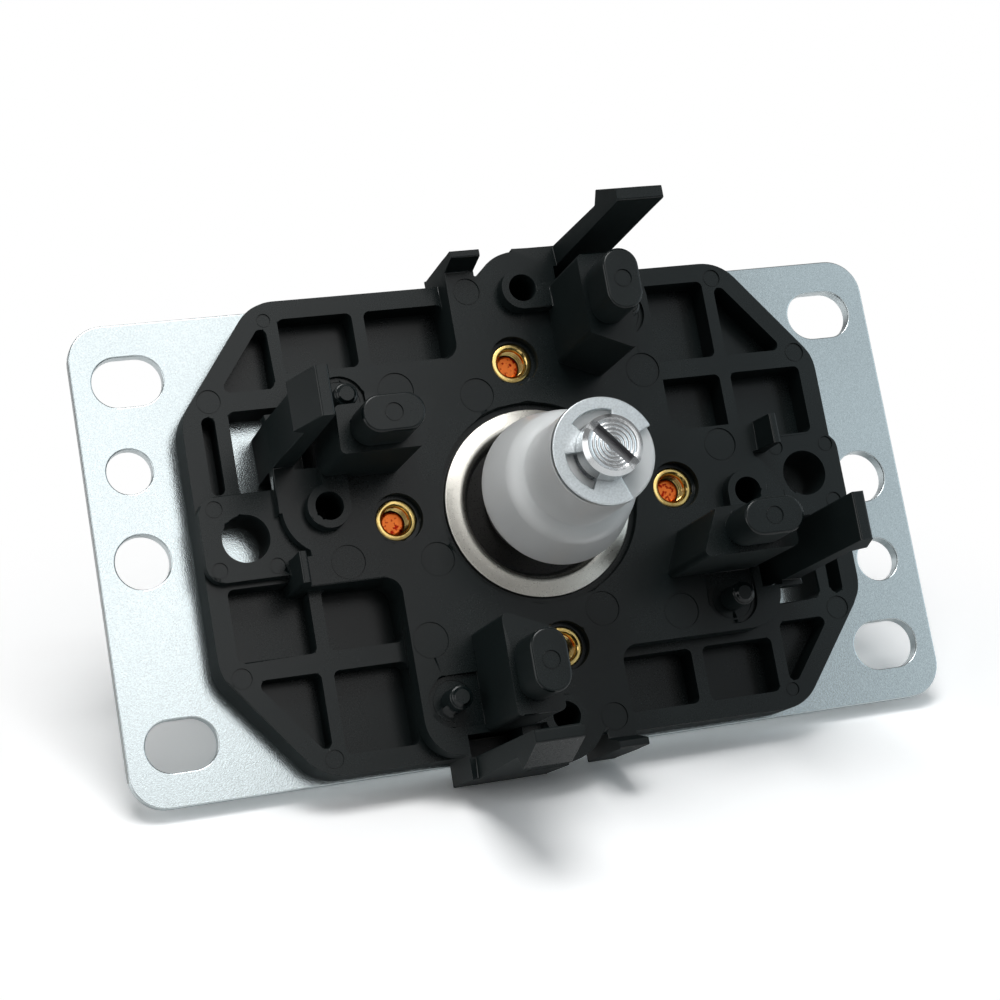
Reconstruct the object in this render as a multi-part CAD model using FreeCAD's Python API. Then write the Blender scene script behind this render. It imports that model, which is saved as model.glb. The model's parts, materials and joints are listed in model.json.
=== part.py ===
import FreeCAD, Part
import math
import os

from FreeCAD import Vector

# An arcade joystick lever without its knob, switches and gate.
# The origin is the middle of the mounting plate's panel face, and the shaft stands on +Z.
# Everything under the plate is modelled standing up from the plate's back face, with heights
# counted away from the plate, and turn_over() then hangs it below the panel.

# Mounting plate
PLATE_LENGTH = 95.0
PLATE_WIDTH = 53.0
PLATE_THICKNESS = 1.6
PLATE_CORNER_RADIUS = 4.0
PANEL_SLOT_END_MARGIN = 6.1
PANEL_SLOT_SIDE_MARGIN = 6.5
PANEL_SLOT_LENGTH = 7.8
PANEL_SLOT_WIDTH = 5.6
END_HOLE_MARGIN = 4.9
END_HOLE_DIAMETER = 6.0
SIDE_HOLE_OFFSET = 10.0
SIDE_HOLE_DIAMETER = 5.0
PIVOT_OPENING_DIAMETER = 17.4

# Countersunk screws and the threaded brass inserts that they pull on
SCREW_CIRCLE_RADIUS = 16.08
SCREW_DIAMETER = 3.0
SCREW_LENGTH = 7.3
SCREW_TIP_CHAMFER = 0.35
SCREW_HEAD_DIAMETER = 5.6
SCREW_HEAD_RIM = 0.25
SCREW_HEAD_SINK = 0.1
SCREW_RECESS_WIDTH = 0.8
SCREW_RECESS_LENGTH = 3.2
SCREW_RECESS_DEPTH = 1.0
SCREW_HOLE_CLEARANCE = 0.2
SCREW_THREAD_CLEARANCE = 0.02
INSERT_DIAMETER = 4.2
INSERT_FLANGE_DIAMETER = 4.6
INSERT_FLANGE_THICKNESS = 0.6
INSERT_LENGTH = 5.9
INSERT_SINK = 1.1
INSERT_LEAD_IN = 0.25
INSERT_COUNTERBORE_DIAMETER = 5.5

# Housing base, a shallow moulded tray with clipped corners
BASE_LENGTH = 74.4
BASE_WIDTH = 52.3
BASE_CLIP_X = 9.4
BASE_CLIP_Y = 12.1
BASE_CORNER_RADIUS = 5.0
BASE_HEIGHT = 5.0
BASE_FLOOR = 1.5
BASE_RIM = 2.1
CELL_CORNER_RADIUS = 0.7
OUTER_RIB_X = 25.8
INNER_RIB_X = 16.05
RIB_THICKNESS = 1.35
UPPER_RIB_Y = 15.3
LOWER_RIB_Y = 13.95
CROSS_RIB_THICKNESS = 2.1

# Raised four-armed deck
DECK_HEIGHT = 8.0
DECK_LEDGE = 0.95
ARM_NEAR_SIDE = 6.25
ARM_FAR_SIDE = 16.95
ARM_REACH = 26.15
ARM_CORNER_RADIUS = 4.0
ARM_INNER_RADIUS = 1.8
LOBE_T = 1.97
LOBE_R = 23.5
LOBE_RADIUS = 5.04

# Screw boss of each arm
BOSS_T = 1.84
BOSS_R = 23.78
BOSS_DIAMETER = 4.8
BOSS_HEIGHT = 9.8
BOSS_HOLE_DIAMETER = 3.1
BOSS_HOLE_DEPTH = 8.0

# Pillar and locating post of each arm
PILLAR_T = 5.05
PILLAR_WIDTH = 5.2
PILLAR_OUTER_R = 24.1
PILLAR_INNER_NEAR_R = 15.35
PILLAR_INNER_FAR_R = 13.0
PILLAR_HEIGHT = 19.6
PILLAR_CORNER_RADIUS = 0.6
POST_T = 7.62
POST_R = 19.42
POST_WIDTH = 4.0
POST_LENGTH = 6.7
POST_HEIGHT = 25.2
POST_EDGE_RADIUS = 0.3

# Locating pin of each arm, in a shallow recess that opens towards the pillar
PIN_T = 13.4
PIN_R = 20.35
PIN_DIAMETER = 2.6
PIN_HEIGHT = 11.5
PIN_EDGE_RADIUS = 0.4
PIN_RECESS_DIAMETER = 5.7
PIN_RECESS_DEPTH = 0.5

# Snap clip of each arm
CLIP_T = 6.95
CLIP_WIDTH = 5.15
CLIP_INNER_R = 26.5
CLIP_THICKNESS = 1.86
CLIP_ROOT_THICKNESS = 2.35
CLIP_ROOT_MARGIN = 0.7
CLIP_HEIGHT = 29.4
CLIP_TIP_THICKNESS = 1.35
CLIP_GAP_FLOOR = 2.5
BARB_REACH = 1.39
BARB_EDGE_HEIGHT = 23.8
BARB_UNDERSIDE_DROP = 1.1
CLIP_SIDE_GAP = 0.45
CLIP_EDGE_RADIUS = 0.25

# Leaning tab of each arm
TAB_T = -6.25
TAB_WIDTH = 3.35
TAB_ROOT_R = 26.75
TAB_TOP_R = 27.4
TAB_OUTER_R = 28.3
TAB_TOP_THICKNESS = 0.8
TAB_HEIGHT = 11.3
TAB_EDGE_RADIUS = 0.2

# Lower ears and clip windows at the two ends
EAR_NEAR_SIDE = 4.5
EAR_FAR_SIDE = 4.9
EAR_CORNER_RADIUS = 2.0
EAR_HEIGHT = 6.5
EAR_HOLE_MARGIN = 4.7
EAR_HOLE_DIAMETER = 5.2
EAR_MARGIN = 0.5
WINDOW_MARGIN = 5.1
WINDOW_WALL = 1.5
END_SLOT_MARGIN = 0.35

# Spring holder, a dished steel washer
HOLDER_DIAMETER = 21.2
HOLDER_RECESS_DIAMETER = 22.5
HOLDER_SEAT_HEIGHT = 7.0
HOLDER_THICKNESS = 0.8
HOLDER_RIM_WIDTH = 0.7
HOLDER_DISH_DIAMETER = 15.6
HOLDER_DISH_DEPTH = 1.75
HOLDER_HOLE_DIAMETER = 10.4
HOLDER_SIDE_CLEARANCE = 0.35

# Pivot: a ball collar on the shaft, turning in a plastic socket under the plate
PIVOT_HEIGHT = 0.6
BALL_RADIUS = 6.5
BALL_TOP = -2.0
BALL_BOTTOM = 5.0
BALL_CLEARANCE = 0.08
SOCKET_DIAMETER = 19.2
SOCKET_HEIGHT = 3.6
SOCKET_FIT = 0.05
SOCKET_SHELF = 1.2
SHELF_HOLE_CLEARANCE = 0.5

# Shaft
SHAFT_DIAMETER = 8.0
SHAFT_REACH = 38.6
SHAFT_THREAD_DIAMETER = 6.0
SHAFT_THREAD_LENGTH = 9.5
SHAFT_LOWER_DIAMETER = 6.4
SHAFT_TIP_HEIGHT = 33.6
SHAFT_CHAMFER = 0.5
SHAFT_SLOT_WIDTH = 1.1
SHAFT_SLOT_DEPTH = 1.0
SHAFT_SLOT_ANGLE = -50.0
SHAFT_FIT = 0.05

# Actuator, a translucent bell held on the shaft by the retaining clip
ACTUATOR_TOP = 30.2
ACTUATOR_BOSS_DIAMETER = 11.2
ACTUATOR_NECK_HEIGHT = 21.3
ACTUATOR_NECK_RADIUS = 0.4
ACTUATOR_SHOULDER_DIAMETER = 14.2
ACTUATOR_SHOULDER_HEIGHT = 20.6
ACTUATOR_SHOULDER_RADIUS = 2.2
ACTUATOR_SKIRT_DIAMETER = 16.9
ACTUATOR_SKIRT_BOTTOM = 14.2
ACTUATOR_SKIRT_THICKNESS = 1.3
ACTUATOR_EDGE_RADIUS = 0.35

# Return spring, squeezed between the holder and the actuator
SPRING_DIAMETER = 11.8
SPRING_WIRE_DIAMETER = 1.1
SPRING_TURNS = 5.0
SPRING_TOP = 17.0
SPRING_SIDE_CLEARANCE = 0.2

# Retaining clip
RETAINER_DIAMETER = 11.24
RETAINER_THICKNESS = 0.8
RETAINER_WINDOW_DIAMETER = 8.6
RETAINER_GRIP_DIAMETER = 5.3
RETAINER_GROOVE_DIAMETER = 5.2
RETAINER_GROOVE_CLEARANCE = 0.1
RETAINER_BACK_ANGLE = 156.5
RETAINER_BACK_TOOTH = 44.0
RETAINER_WINDOW_SPAN = 64.0
RETAINER_MOUTH_SPAN = 90.0

# Cuts run this far past the faces that they open, and a length under TINY counts as none
OVERRUN = 1.0
TINY = 1e-4

UP = Vector(0, 0, 1)
CLIP_OUTER_R = CLIP_INNER_R + CLIP_THICKNESS
CLIP_ROOT_R = CLIP_INNER_R + CLIP_ROOT_THICKNESS
RETAINER_BOTTOM = ACTUATOR_TOP
DISH_FLOOR = HOLDER_SEAT_HEIGHT - HOLDER_DISH_DEPTH
END_HOLE_X = PLATE_LENGTH / 2 - END_HOLE_MARGIN
PANEL_SLOT_X = PLATE_LENGTH / 2 - PANEL_SLOT_END_MARGIN
PANEL_SLOT_Y = PLATE_WIDTH / 2 - PANEL_SLOT_SIDE_MARGIN
EAR_HOLE_R = BASE_LENGTH / 2 - EAR_HOLE_MARGIN
WINDOW_REACH = BASE_LENGTH / 2 - WINDOW_MARGIN


def rounded_face(points, radii):
    """A flat face on a closed outline, its corners rounded by one radius or by one each."""
    if not isinstance(radii, (list, tuple)):
        radii = [radii] * len(points)
    corners = [Vector(x, y, 0) for x, y in points]
    starts, ends, middles = [], [], []
    for i, corner in enumerate(corners):
        back = (corners[i - 1] - corner).normalize()
        ahead = (corners[(i + 1) % len(corners)] - corner).normalize()
        half = back.getAngle(ahead) / 2
        run = radii[i] / math.tan(half)
        starts.append(corner + back * run)
        ends.append(corner + ahead * run)
        inward = back + ahead
        inward.normalize()
        middles.append(corner + inward * (radii[i] / math.sin(half) - radii[i]))
    edges = []
    for i, corner in enumerate(corners):
        if radii[i] > 0:
            edges.append(Part.Arc(starts[i], middles[i], ends[i]).toShape())
        following = starts[(i + 1) % len(corners)]
        if ends[i].distanceToPoint(following) > TINY:
            edges.append(Part.LineSegment(ends[i], following).toShape())
    return Part.Face(Part.Wire(edges))


def prism(points, radii, low, high):
    """An upright block on a rounded outline."""
    face = rounded_face(points, radii)
    face.translate(Vector(0, 0, low))
    return face.extrude(Vector(0, 0, high - low))


def rectangle(x_low, x_high, y_low, y_high):
    return [(x_low, y_low), (x_high, y_low), (x_high, y_high), (x_low, y_high)]


def disc(diameter, x, y, low, high):
    return Part.makeCylinder(diameter / 2, high - low, Vector(x, y, low))


def cone(diameter_low, diameter_high, x, y, low, high):
    return Part.makeCone(diameter_low / 2, diameter_high / 2, high - low, Vector(x, y, low))


def stadium(length, width, x, y, low, high):
    """An upright slot shape, long in x."""
    outline = rectangle(x - length / 2, x + length / 2, y - width / 2, y + width / 2)
    return prism(outline, width / 2 - TINY, low, high)


def stand(face):
    """Turns a face drawn in x and y upright, so that its y becomes height."""
    face.rotate(Vector(0, 0, 0), Vector(1, 0, 0), 90)
    return face


def turned(profile, radii=0):
    """A solid of revolution from a closed outline of (radius, height) points."""
    return stand(rounded_face(profile, radii)).revolve(Vector(0, 0, 0), UP, 360)


def cross_section(profile, radii, x_low, x_high):
    """A bar whose section is drawn in (y, height) and which runs along x."""
    face = stand(rounded_face(profile, radii))
    face.rotate(Vector(0, 0, 0), UP, 90)
    face.translate(Vector(x_low, 0, 0))
    return face.extrude(Vector(x_high - x_low, 0, 0))


def circle_copies(shape, count=4):
    """The shape and its copies at equal steps round the shaft."""
    copies = []
    for step in range(count):
        copy = shape.copy()
        copy.rotate(Vector(0, 0, 0), UP, step * 360.0 / count)
        copies.append(copy)
    return copies


def end_copies(shape):
    """The shape and its copy at the housing's other end."""
    return circle_copies(shape, 2)


def turn_over(shape):
    """Hangs a shape that was modelled upwards below the plate's back face."""
    hung = shape.copy()
    hung.rotate(Vector(0, 0, 0), Vector(1, 0, 0), 180)
    hung.translate(Vector(0, 0, -PLATE_THICKNESS))
    return hung


def fuse(shapes):
    return shapes[0].multiFuse(shapes[1:]).removeSplitter()


def soften(shape, radius, wanted):
    """Rounds the edges that the test picks."""
    edges = [edge for edge in shape.Edges if wanted(edge)]
    return shape.makeFillet(radius, edges) if edges else shape


def lies_at_height(edge, height):
    return all(abs(vertex.Z - height) < TINY for vertex in edge.Vertexes)


def screw_places():
    for step in range(4):
        angle = math.radians(90 * step)
        yield SCREW_CIRCLE_RADIUS * math.cos(angle), SCREW_CIRCLE_RADIUS * math.sin(angle)


def mounting_plate():
    half_length, half_width = PLATE_LENGTH / 2, PLATE_WIDTH / 2
    outline = rectangle(-half_length, half_length, -half_width, half_width)
    plate = prism(outline, PLATE_CORNER_RADIUS, -PLATE_THICKNESS, 0)
    low, high = -PLATE_THICKNESS - OVERRUN, OVERRUN
    holes = [disc(PIVOT_OPENING_DIAMETER, 0, 0, low, high)]
    for side in (-1, 1):
        holes.append(disc(END_HOLE_DIAMETER, side * END_HOLE_X, 0, low, high))
        holes.append(disc(SIDE_HOLE_DIAMETER, side * END_HOLE_X, side * SIDE_HOLE_OFFSET, low, high))
        for end in (-1, 1):
            holes.append(stadium(PANEL_SLOT_LENGTH, PANEL_SLOT_WIDTH,
                                 side * PANEL_SLOT_X, end * PANEL_SLOT_Y, low, high))
    sink = SCREW_HEAD_SINK + SCREW_HEAD_RIM
    for x, y in screw_places():
        hole = SCREW_DIAMETER + 2 * SCREW_HOLE_CLEARANCE
        holes.append(disc(hole, x, y, low, high))
        head = SCREW_HEAD_DIAMETER + 2 * SCREW_HOLE_CLEARANCE
        holes.append(disc(head, x, y, -sink, high))
        holes.append(cone(hole, head, x, y, -sink - (head - hole) / 2, -sink))
    return plate.cut(holes)


def plate_screw(x, y):
    """A countersunk screw from the panel side, its head just below the panel face."""
    top = -SCREW_HEAD_SINK
    neck = top - SCREW_HEAD_RIM - (SCREW_HEAD_DIAMETER - SCREW_DIAMETER) / 2
    head_rim = disc(SCREW_HEAD_DIAMETER, x, y, top - SCREW_HEAD_RIM, top)
    head = cone(SCREW_DIAMETER, SCREW_HEAD_DIAMETER, x, y, neck, top - SCREW_HEAD_RIM)
    tip = top - SCREW_LENGTH
    shank = disc(SCREW_DIAMETER, x, y, tip + SCREW_TIP_CHAMFER, neck)
    point = cone(SCREW_DIAMETER - 2 * SCREW_TIP_CHAMFER, SCREW_DIAMETER, x, y, tip, tip + SCREW_TIP_CHAMFER)
    screw = fuse([head_rim, head, shank, point])
    length, width = SCREW_RECESS_LENGTH / 2, SCREW_RECESS_WIDTH / 2
    floor = top - SCREW_RECESS_DEPTH
    recess = [prism(rectangle(x - half_x, x + half_x, y - half_y, y + half_y), 0, floor, OVERRUN)
              for half_x, half_y in ((length, width), (width, length))]
    return screw.cut(recess)


def brass_insert(x, y):
    top = DECK_HEIGHT - INSERT_SINK
    body = disc(INSERT_DIAMETER, x, y, top - INSERT_LENGTH, top)
    flange = disc(INSERT_FLANGE_DIAMETER, x, y, top - INSERT_FLANGE_THICKNESS, top)
    bore_diameter = SCREW_DIAMETER + 2 * SCREW_THREAD_CLEARANCE
    bore = disc(bore_diameter, x, y, top - INSERT_LENGTH - OVERRUN, top + OVERRUN)
    lead_in = cone(bore_diameter, bore_diameter + 2 * INSERT_LEAD_IN, x, y, top - INSERT_LEAD_IN, top)
    return fuse([body, flange]).cut([bore, lead_in])


def clipped_line():
    """The clipped edge of the base's upper right quarter, as its normal and its distance from the middle."""
    slant = math.hypot(BASE_CLIP_X, BASE_CLIP_Y)
    normal_x, normal_y = BASE_CLIP_Y / slant, BASE_CLIP_X / slant
    distance = normal_x * BASE_LENGTH / 2 + normal_y * (BASE_WIDTH / 2 - BASE_CLIP_Y)
    return normal_x, normal_y, distance


def base_tray():
    """The base's outline, a rectangle with four clipped and rounded corners."""
    length, width = BASE_LENGTH / 2, BASE_WIDTH / 2
    x, y = length - BASE_CLIP_X, width - BASE_CLIP_Y
    points = [(length, -y), (length, y), (x, width), (-x, width),
              (-length, y), (-length, -y), (-x, -width), (x, -width)]
    return prism(points, BASE_CORNER_RADIUS, 0, BASE_HEIGHT)


def corner_cell(rib_x, rib_y, side):
    """A three-sided pocket behind a clipped corner, on the left above or below the middle line."""
    normal_x, normal_y, distance = clipped_line()
    reach = distance - BASE_RIM
    x_at_rib = -(reach - normal_y * rib_y) / normal_x
    y_at_rib = (reach - normal_x * rib_x) / normal_y
    return [(x_at_rib, side * rib_y), (-rib_x, side * rib_y), (-rib_x, side * y_at_rib)]


def base_cells():
    """The moulded pockets between the ribs at one end of the base."""
    rim_x, rim_y = BASE_LENGTH / 2 - BASE_RIM, BASE_WIDTH / 2 - BASE_RIM
    thick, cross = RIB_THICKNESS / 2, CROSS_RIB_THICKNESS / 2
    outer_far, outer_near = OUTER_RIB_X + thick, OUTER_RIB_X - thick
    inner_far, inner_near = INNER_RIB_X + thick, INNER_RIB_X - thick
    ledge = ARM_FAR_SIDE + DECK_LEDGE
    slot_low, slot_high = EAR_FAR_SIDE + END_SLOT_MARGIN, UPPER_RIB_Y - cross - END_SLOT_MARGIN
    lower_near, lower_far = LOWER_RIB_Y - cross, LOWER_RIB_Y + cross
    cells = [
        corner_cell(outer_far, UPPER_RIB_Y + cross, 1),
        corner_cell(outer_far, lower_far, -1),
        rectangle(-outer_near, -inner_far, ledge, rim_y),
        rectangle(-inner_near, -ARM_NEAR_SIDE, ledge, rim_y),
        rectangle(-rim_x, -WINDOW_REACH - WINDOW_WALL, slot_low, slot_high),
        rectangle(-rim_x, -outer_far, -lower_near, -EAR_NEAR_SIDE - EAR_MARGIN),
        rectangle(-outer_near, -ARM_FAR_SIDE, -lower_near, -ARM_NEAR_SIDE),
        rectangle(-outer_near, -ARM_FAR_SIDE, -rim_y, -lower_far),
    ]
    return [prism(outline, CELL_CORNER_RADIUS, BASE_FLOOR, BASE_HEIGHT + OVERRUN) for outline in cells]


def deck():
    """The raised cross, with the same arm at every quarter turn."""
    points, radii = [], []
    for step in range(4):
        angle = -math.pi / 2 * step
        cosine, sine = math.cos(angle), math.sin(angle)
        for t, r, radius in ((-ARM_NEAR_SIDE, ARM_FAR_SIDE, ARM_INNER_RADIUS),
                             (-ARM_NEAR_SIDE, ARM_REACH, 0),
                             (ARM_FAR_SIDE, ARM_REACH, ARM_CORNER_RADIUS)):
            points.append((t * cosine - r * sine, t * sine + r * cosine))
            radii.append(radius)
    return prism(points, radii, 0, DECK_HEIGHT)


def pillar():
    far = PILLAR_T + PILLAR_WIDTH
    outline = [(PILLAR_T, PILLAR_INNER_NEAR_R), (far, PILLAR_INNER_FAR_R),
               (far, PILLAR_OUTER_R), (PILLAR_T, PILLAR_OUTER_R)]
    return prism(outline, PILLAR_CORNER_RADIUS, 0, PILLAR_HEIGHT)


def post():
    outline = rectangle(POST_T - POST_WIDTH / 2, POST_T + POST_WIDTH / 2,
                        POST_R - POST_LENGTH / 2, POST_R + POST_LENGTH / 2)
    oval = prism(outline, POST_WIDTH / 2 - TINY, DECK_HEIGHT, POST_HEIGHT)
    return soften(oval, POST_EDGE_RADIUS, lambda edge: lies_at_height(edge, POST_HEIGHT))


def web():
    """What joins the screw boss to the pillar, as high as the boss and flush with the pillar outside."""
    outline = rectangle(BOSS_T, PILLAR_T + OVERRUN, BOSS_R - BOSS_DIAMETER / 2, PILLAR_OUTER_R)
    return prism(outline, 0, 0, BOSS_HEIGHT)


def locating_pin():
    pin = disc(PIN_DIAMETER, PIN_T, PIN_R, 0, PIN_HEIGHT)
    return soften(pin, PIN_EDGE_RADIUS, lambda edge: lies_at_height(edge, PIN_HEIGHT))


def pin_recess():
    radius = PIN_RECESS_DIAMETER / 2
    outline = rectangle(PILLAR_T + PILLAR_WIDTH / 2, PIN_T + radius, PIN_R - radius, PIN_R + radius)
    round_end = radius - TINY
    floor = DECK_HEIGHT - PIN_RECESS_DEPTH
    return prism(outline, [0, round_end, round_end, 0], floor, DECK_HEIGHT + OVERRUN)


def snap_clip():
    """An upright flexible finger with an outward barb, tapering from the wall that it stands on."""
    barb_r = CLIP_OUTER_R + BARB_REACH
    profile = [(CLIP_INNER_R, 0), (CLIP_INNER_R, CLIP_HEIGHT),
               (CLIP_INNER_R + CLIP_TIP_THICKNESS, CLIP_HEIGHT),
               (barb_r, BARB_EDGE_HEIGHT),
               (CLIP_OUTER_R, BARB_EDGE_HEIGHT - BARB_UNDERSIDE_DROP),
               (CLIP_ROOT_R, DECK_HEIGHT), (CLIP_ROOT_R, 0)]
    radii = [0, CLIP_EDGE_RADIUS, CLIP_EDGE_RADIUS, CLIP_EDGE_RADIUS, CLIP_EDGE_RADIUS, 0, 0]
    return cross_section(profile, radii, CLIP_T, CLIP_T + CLIP_WIDTH)


def clip_wall():
    """The wall at the arm's end, from the lobe to beyond the clip, that carries the clip."""
    outline = rectangle(LOBE_T, CLIP_T + CLIP_WIDTH + CLIP_ROOT_MARGIN, LOBE_R, CLIP_ROOT_R)
    return prism(outline, 0, 0, DECK_HEIGHT)


def clip_gap():
    """The room behind each clip that lets it bend towards the pillar."""
    outline = rectangle(CLIP_T - CLIP_SIDE_GAP, CLIP_T + CLIP_WIDTH + CLIP_SIDE_GAP,
                        PILLAR_OUTER_R, CLIP_INNER_R)
    return prism(outline, 0, CLIP_GAP_FLOOR, DECK_HEIGHT + OVERRUN)


def leaning_tab():
    profile = [(ARM_REACH - OVERRUN, 0), (ARM_REACH - OVERRUN, DECK_HEIGHT), (TAB_ROOT_R, DECK_HEIGHT),
               (TAB_TOP_R, TAB_HEIGHT), (TAB_TOP_R + TAB_TOP_THICKNESS, TAB_HEIGHT),
               (TAB_OUTER_R, DECK_HEIGHT), (TAB_OUTER_R, 0)]
    radii = [0, 0, 0, TAB_EDGE_RADIUS, TAB_EDGE_RADIUS, 0, 0]
    return cross_section(profile, radii, TAB_T, TAB_T + TAB_WIDTH)


def ear():
    """The lower step beyond the lobe at one end, drawn like the arms with its length along y."""
    outline = rectangle(-EAR_NEAR_SIDE, EAR_FAR_SIDE, LOBE_R, BASE_LENGTH / 2)
    block = prism(outline, [0, 0, EAR_CORNER_RADIUS, EAR_CORNER_RADIUS], 0, EAR_HEIGHT)
    block.rotate(Vector(0, 0, 0), UP, 90)
    return block


def clip_window():
    """The opening through the base beside the clip of an end arm."""
    outline = rectangle(EAR_FAR_SIDE, UPPER_RIB_Y - CROSS_RIB_THICKNESS / 2, ARM_REACH, WINDOW_REACH)
    opening = prism(outline, CELL_CORNER_RADIUS, -OVERRUN, BASE_HEIGHT + OVERRUN)
    opening.rotate(Vector(0, 0, 0), UP, 90)
    return opening


def pivot_bore():
    """The stepped hole through the middle: socket pocket, shelf and the recess for the spring holder."""
    shelf_top = SOCKET_HEIGHT + SOCKET_SHELF
    ball_at_shelf = math.sqrt(BALL_RADIUS ** 2 - (SOCKET_HEIGHT - PIVOT_HEIGHT) ** 2)
    dish = HOLDER_DISH_DIAMETER + 2 * (HOLDER_THICKNESS + HOLDER_SIDE_CLEARANCE)
    return [
        disc(SOCKET_DIAMETER + 2 * SOCKET_FIT, 0, 0, -OVERRUN, SOCKET_HEIGHT),
        disc(2 * (ball_at_shelf + SHELF_HOLE_CLEARANCE), 0, 0, -OVERRUN, shelf_top + OVERRUN),
        disc(dish, 0, 0, shelf_top, HOLDER_SEAT_HEIGHT),
        disc(HOLDER_RECESS_DIAMETER, 0, 0, HOLDER_SEAT_HEIGHT, DECK_HEIGHT + OVERRUN),
    ]


def insert_holes():
    holes = []
    top = DECK_HEIGHT - INSERT_SINK
    for x, y in screw_places():
        holes.append(disc(INSERT_DIAMETER, x, y, -OVERRUN, top))
        holes.append(disc(INSERT_FLANGE_DIAMETER, x, y, top - INSERT_FLANGE_THICKNESS, top))
        holes.append(disc(INSERT_COUNTERBORE_DIAMETER, x, y, top, DECK_HEIGHT + OVERRUN))
    return holes


def arm_cuts():
    """What is cut from one arm before anything stands on it."""
    return [pin_recess(), clip_gap()]


def on_each_arm(shapes):
    return [copy for shape in shapes for copy in circle_copies(shape)]


def housing():
    base = base_tray().cut([copy for pocket in base_cells() for copy in end_copies(pocket)])
    lobe = disc(2 * LOBE_RADIUS, LOBE_T, LOBE_R, 0, DECK_HEIGHT)
    body = fuse([base, deck()] + end_copies(ear()) + on_each_arm([lobe, leaning_tab(), clip_wall()]))
    body = body.cut(end_copies(clip_window()) + on_each_arm(arm_cuts()))
    boss = disc(BOSS_DIAMETER, BOSS_T, BOSS_R, DECK_HEIGHT, BOSS_HEIGHT)
    body = fuse([body] + on_each_arm([pillar(), post(), web(), locating_pin(), boss, snap_clip()]))
    boss_floor = BOSS_HEIGHT - BOSS_HOLE_DEPTH
    boss_hole = disc(BOSS_HOLE_DIAMETER, BOSS_T, BOSS_R, boss_floor, BOSS_HEIGHT + OVERRUN)
    ear_hole = disc(EAR_HOLE_DIAMETER, EAR_HOLE_R, 0, -OVERRUN, EAR_HEIGHT + OVERRUN)
    return body.cut(circle_copies(boss_hole) + end_copies(ear_hole) + pivot_bore() + insert_holes())


def pivot_socket():
    """The plastic cup, held under the plate, that the ball turns in."""
    body = disc(SOCKET_DIAMETER, 0, 0, 0, SOCKET_HEIGHT)
    mouth_radius = BALL_RADIUS + BALL_CLEARANCE
    bowl = Part.makeSphere(mouth_radius, Vector(0, 0, PIVOT_HEIGHT))
    mouth = disc(2 * mouth_radius, 0, 0, -OVERRUN, PIVOT_HEIGHT)
    return body.cut([bowl, mouth])


def pivot_ball():
    ball = Part.makeSphere(BALL_RADIUS, Vector(0, 0, PIVOT_HEIGHT))
    kept = disc(4 * BALL_RADIUS, 0, 0, BALL_TOP, BALL_BOTTOM)
    bore = disc(SHAFT_LOWER_DIAMETER + 2 * SHAFT_FIT, 0, 0, BALL_TOP - OVERRUN, BALL_BOTTOM + OVERRUN)
    return ball.common(kept).cut(bore)


def shaft():
    """The whole shaft, counted like the rest from the plate's back face, thread end lowest."""
    end = -PLATE_THICKNESS - SHAFT_REACH
    shoulder = end + SHAFT_THREAD_LENGTH
    thread, thick, thin = SHAFT_THREAD_DIAMETER / 2, SHAFT_DIAMETER / 2, SHAFT_LOWER_DIAMETER / 2
    groove = RETAINER_GROOVE_DIAMETER / 2
    groove_top = RETAINER_BOTTOM + RETAINER_THICKNESS + RETAINER_GROOVE_CLEARANCE
    body = turned([
        (0, end), (thread - SHAFT_CHAMFER, end), (thread, end + SHAFT_CHAMFER), (thread, shoulder),
        (thick - SHAFT_CHAMFER, shoulder), (thick, shoulder + SHAFT_CHAMFER),
        (thick, BALL_TOP), (thin, BALL_TOP),
        (thin, RETAINER_BOTTOM), (groove, RETAINER_BOTTOM), (groove, groove_top), (thin, groove_top),
        (thin, SHAFT_TIP_HEIGHT - SHAFT_CHAMFER), (thin - SHAFT_CHAMFER, SHAFT_TIP_HEIGHT),
        (0, SHAFT_TIP_HEIGHT),
    ])
    half = SHAFT_SLOT_WIDTH / 2
    slot = prism(rectangle(-SHAFT_DIAMETER, SHAFT_DIAMETER, -half, half), 0,
                 SHAFT_TIP_HEIGHT - SHAFT_SLOT_DEPTH, SHAFT_TIP_HEIGHT + OVERRUN)
    slot.rotate(Vector(0, 0, 0), UP, SHAFT_SLOT_ANGLE)
    return body.cut(slot)


def spring_holder():
    """A pressed washer: flat rim, sloping bowl and a flat floor with a wide hole."""
    outer, dish, hole = HOLDER_DIAMETER / 2, HOLDER_DISH_DIAMETER / 2, HOLDER_HOLE_DIAMETER / 2
    bend = outer - HOLDER_RIM_WIDTH
    seat, thick = HOLDER_SEAT_HEIGHT, HOLDER_THICKNESS
    foot = dish + HOLDER_SIDE_CLEARANCE
    return turned([
        (outer, seat), (outer, seat + thick), (bend, seat + thick),
        (dish, DISH_FLOOR + thick), (hole, DISH_FLOOR + thick), (hole, DISH_FLOOR),
        (dish, DISH_FLOOR), (foot + thick, seat),
    ])


def return_spring():
    """A cylindrical coil between the holder's floor and the actuator, its ends ground flat."""
    low, high = DISH_FLOOR + HOLDER_THICKNESS, SPRING_TOP
    radius = (SPRING_DIAMETER - SPRING_WIRE_DIAMETER) / 2
    height = high - low
    helix = Part.makeHelix(height / SPRING_TURNS, height, radius)
    wire = Part.Wire(Part.makeCircle(SPRING_WIRE_DIAMETER / 2, Vector(radius, 0, 0), Vector(0, 1, 0)))
    coil = Part.Wire(helix.Edges).makePipeShell([wire], True, True)
    coil.translate(Vector(0, 0, low))
    room = disc(4 * SPRING_DIAMETER, 0, 0, low, high)
    return Part.Solid(coil).common(room) if coil.ShapeType != "Solid" else coil.common(room)


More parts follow.
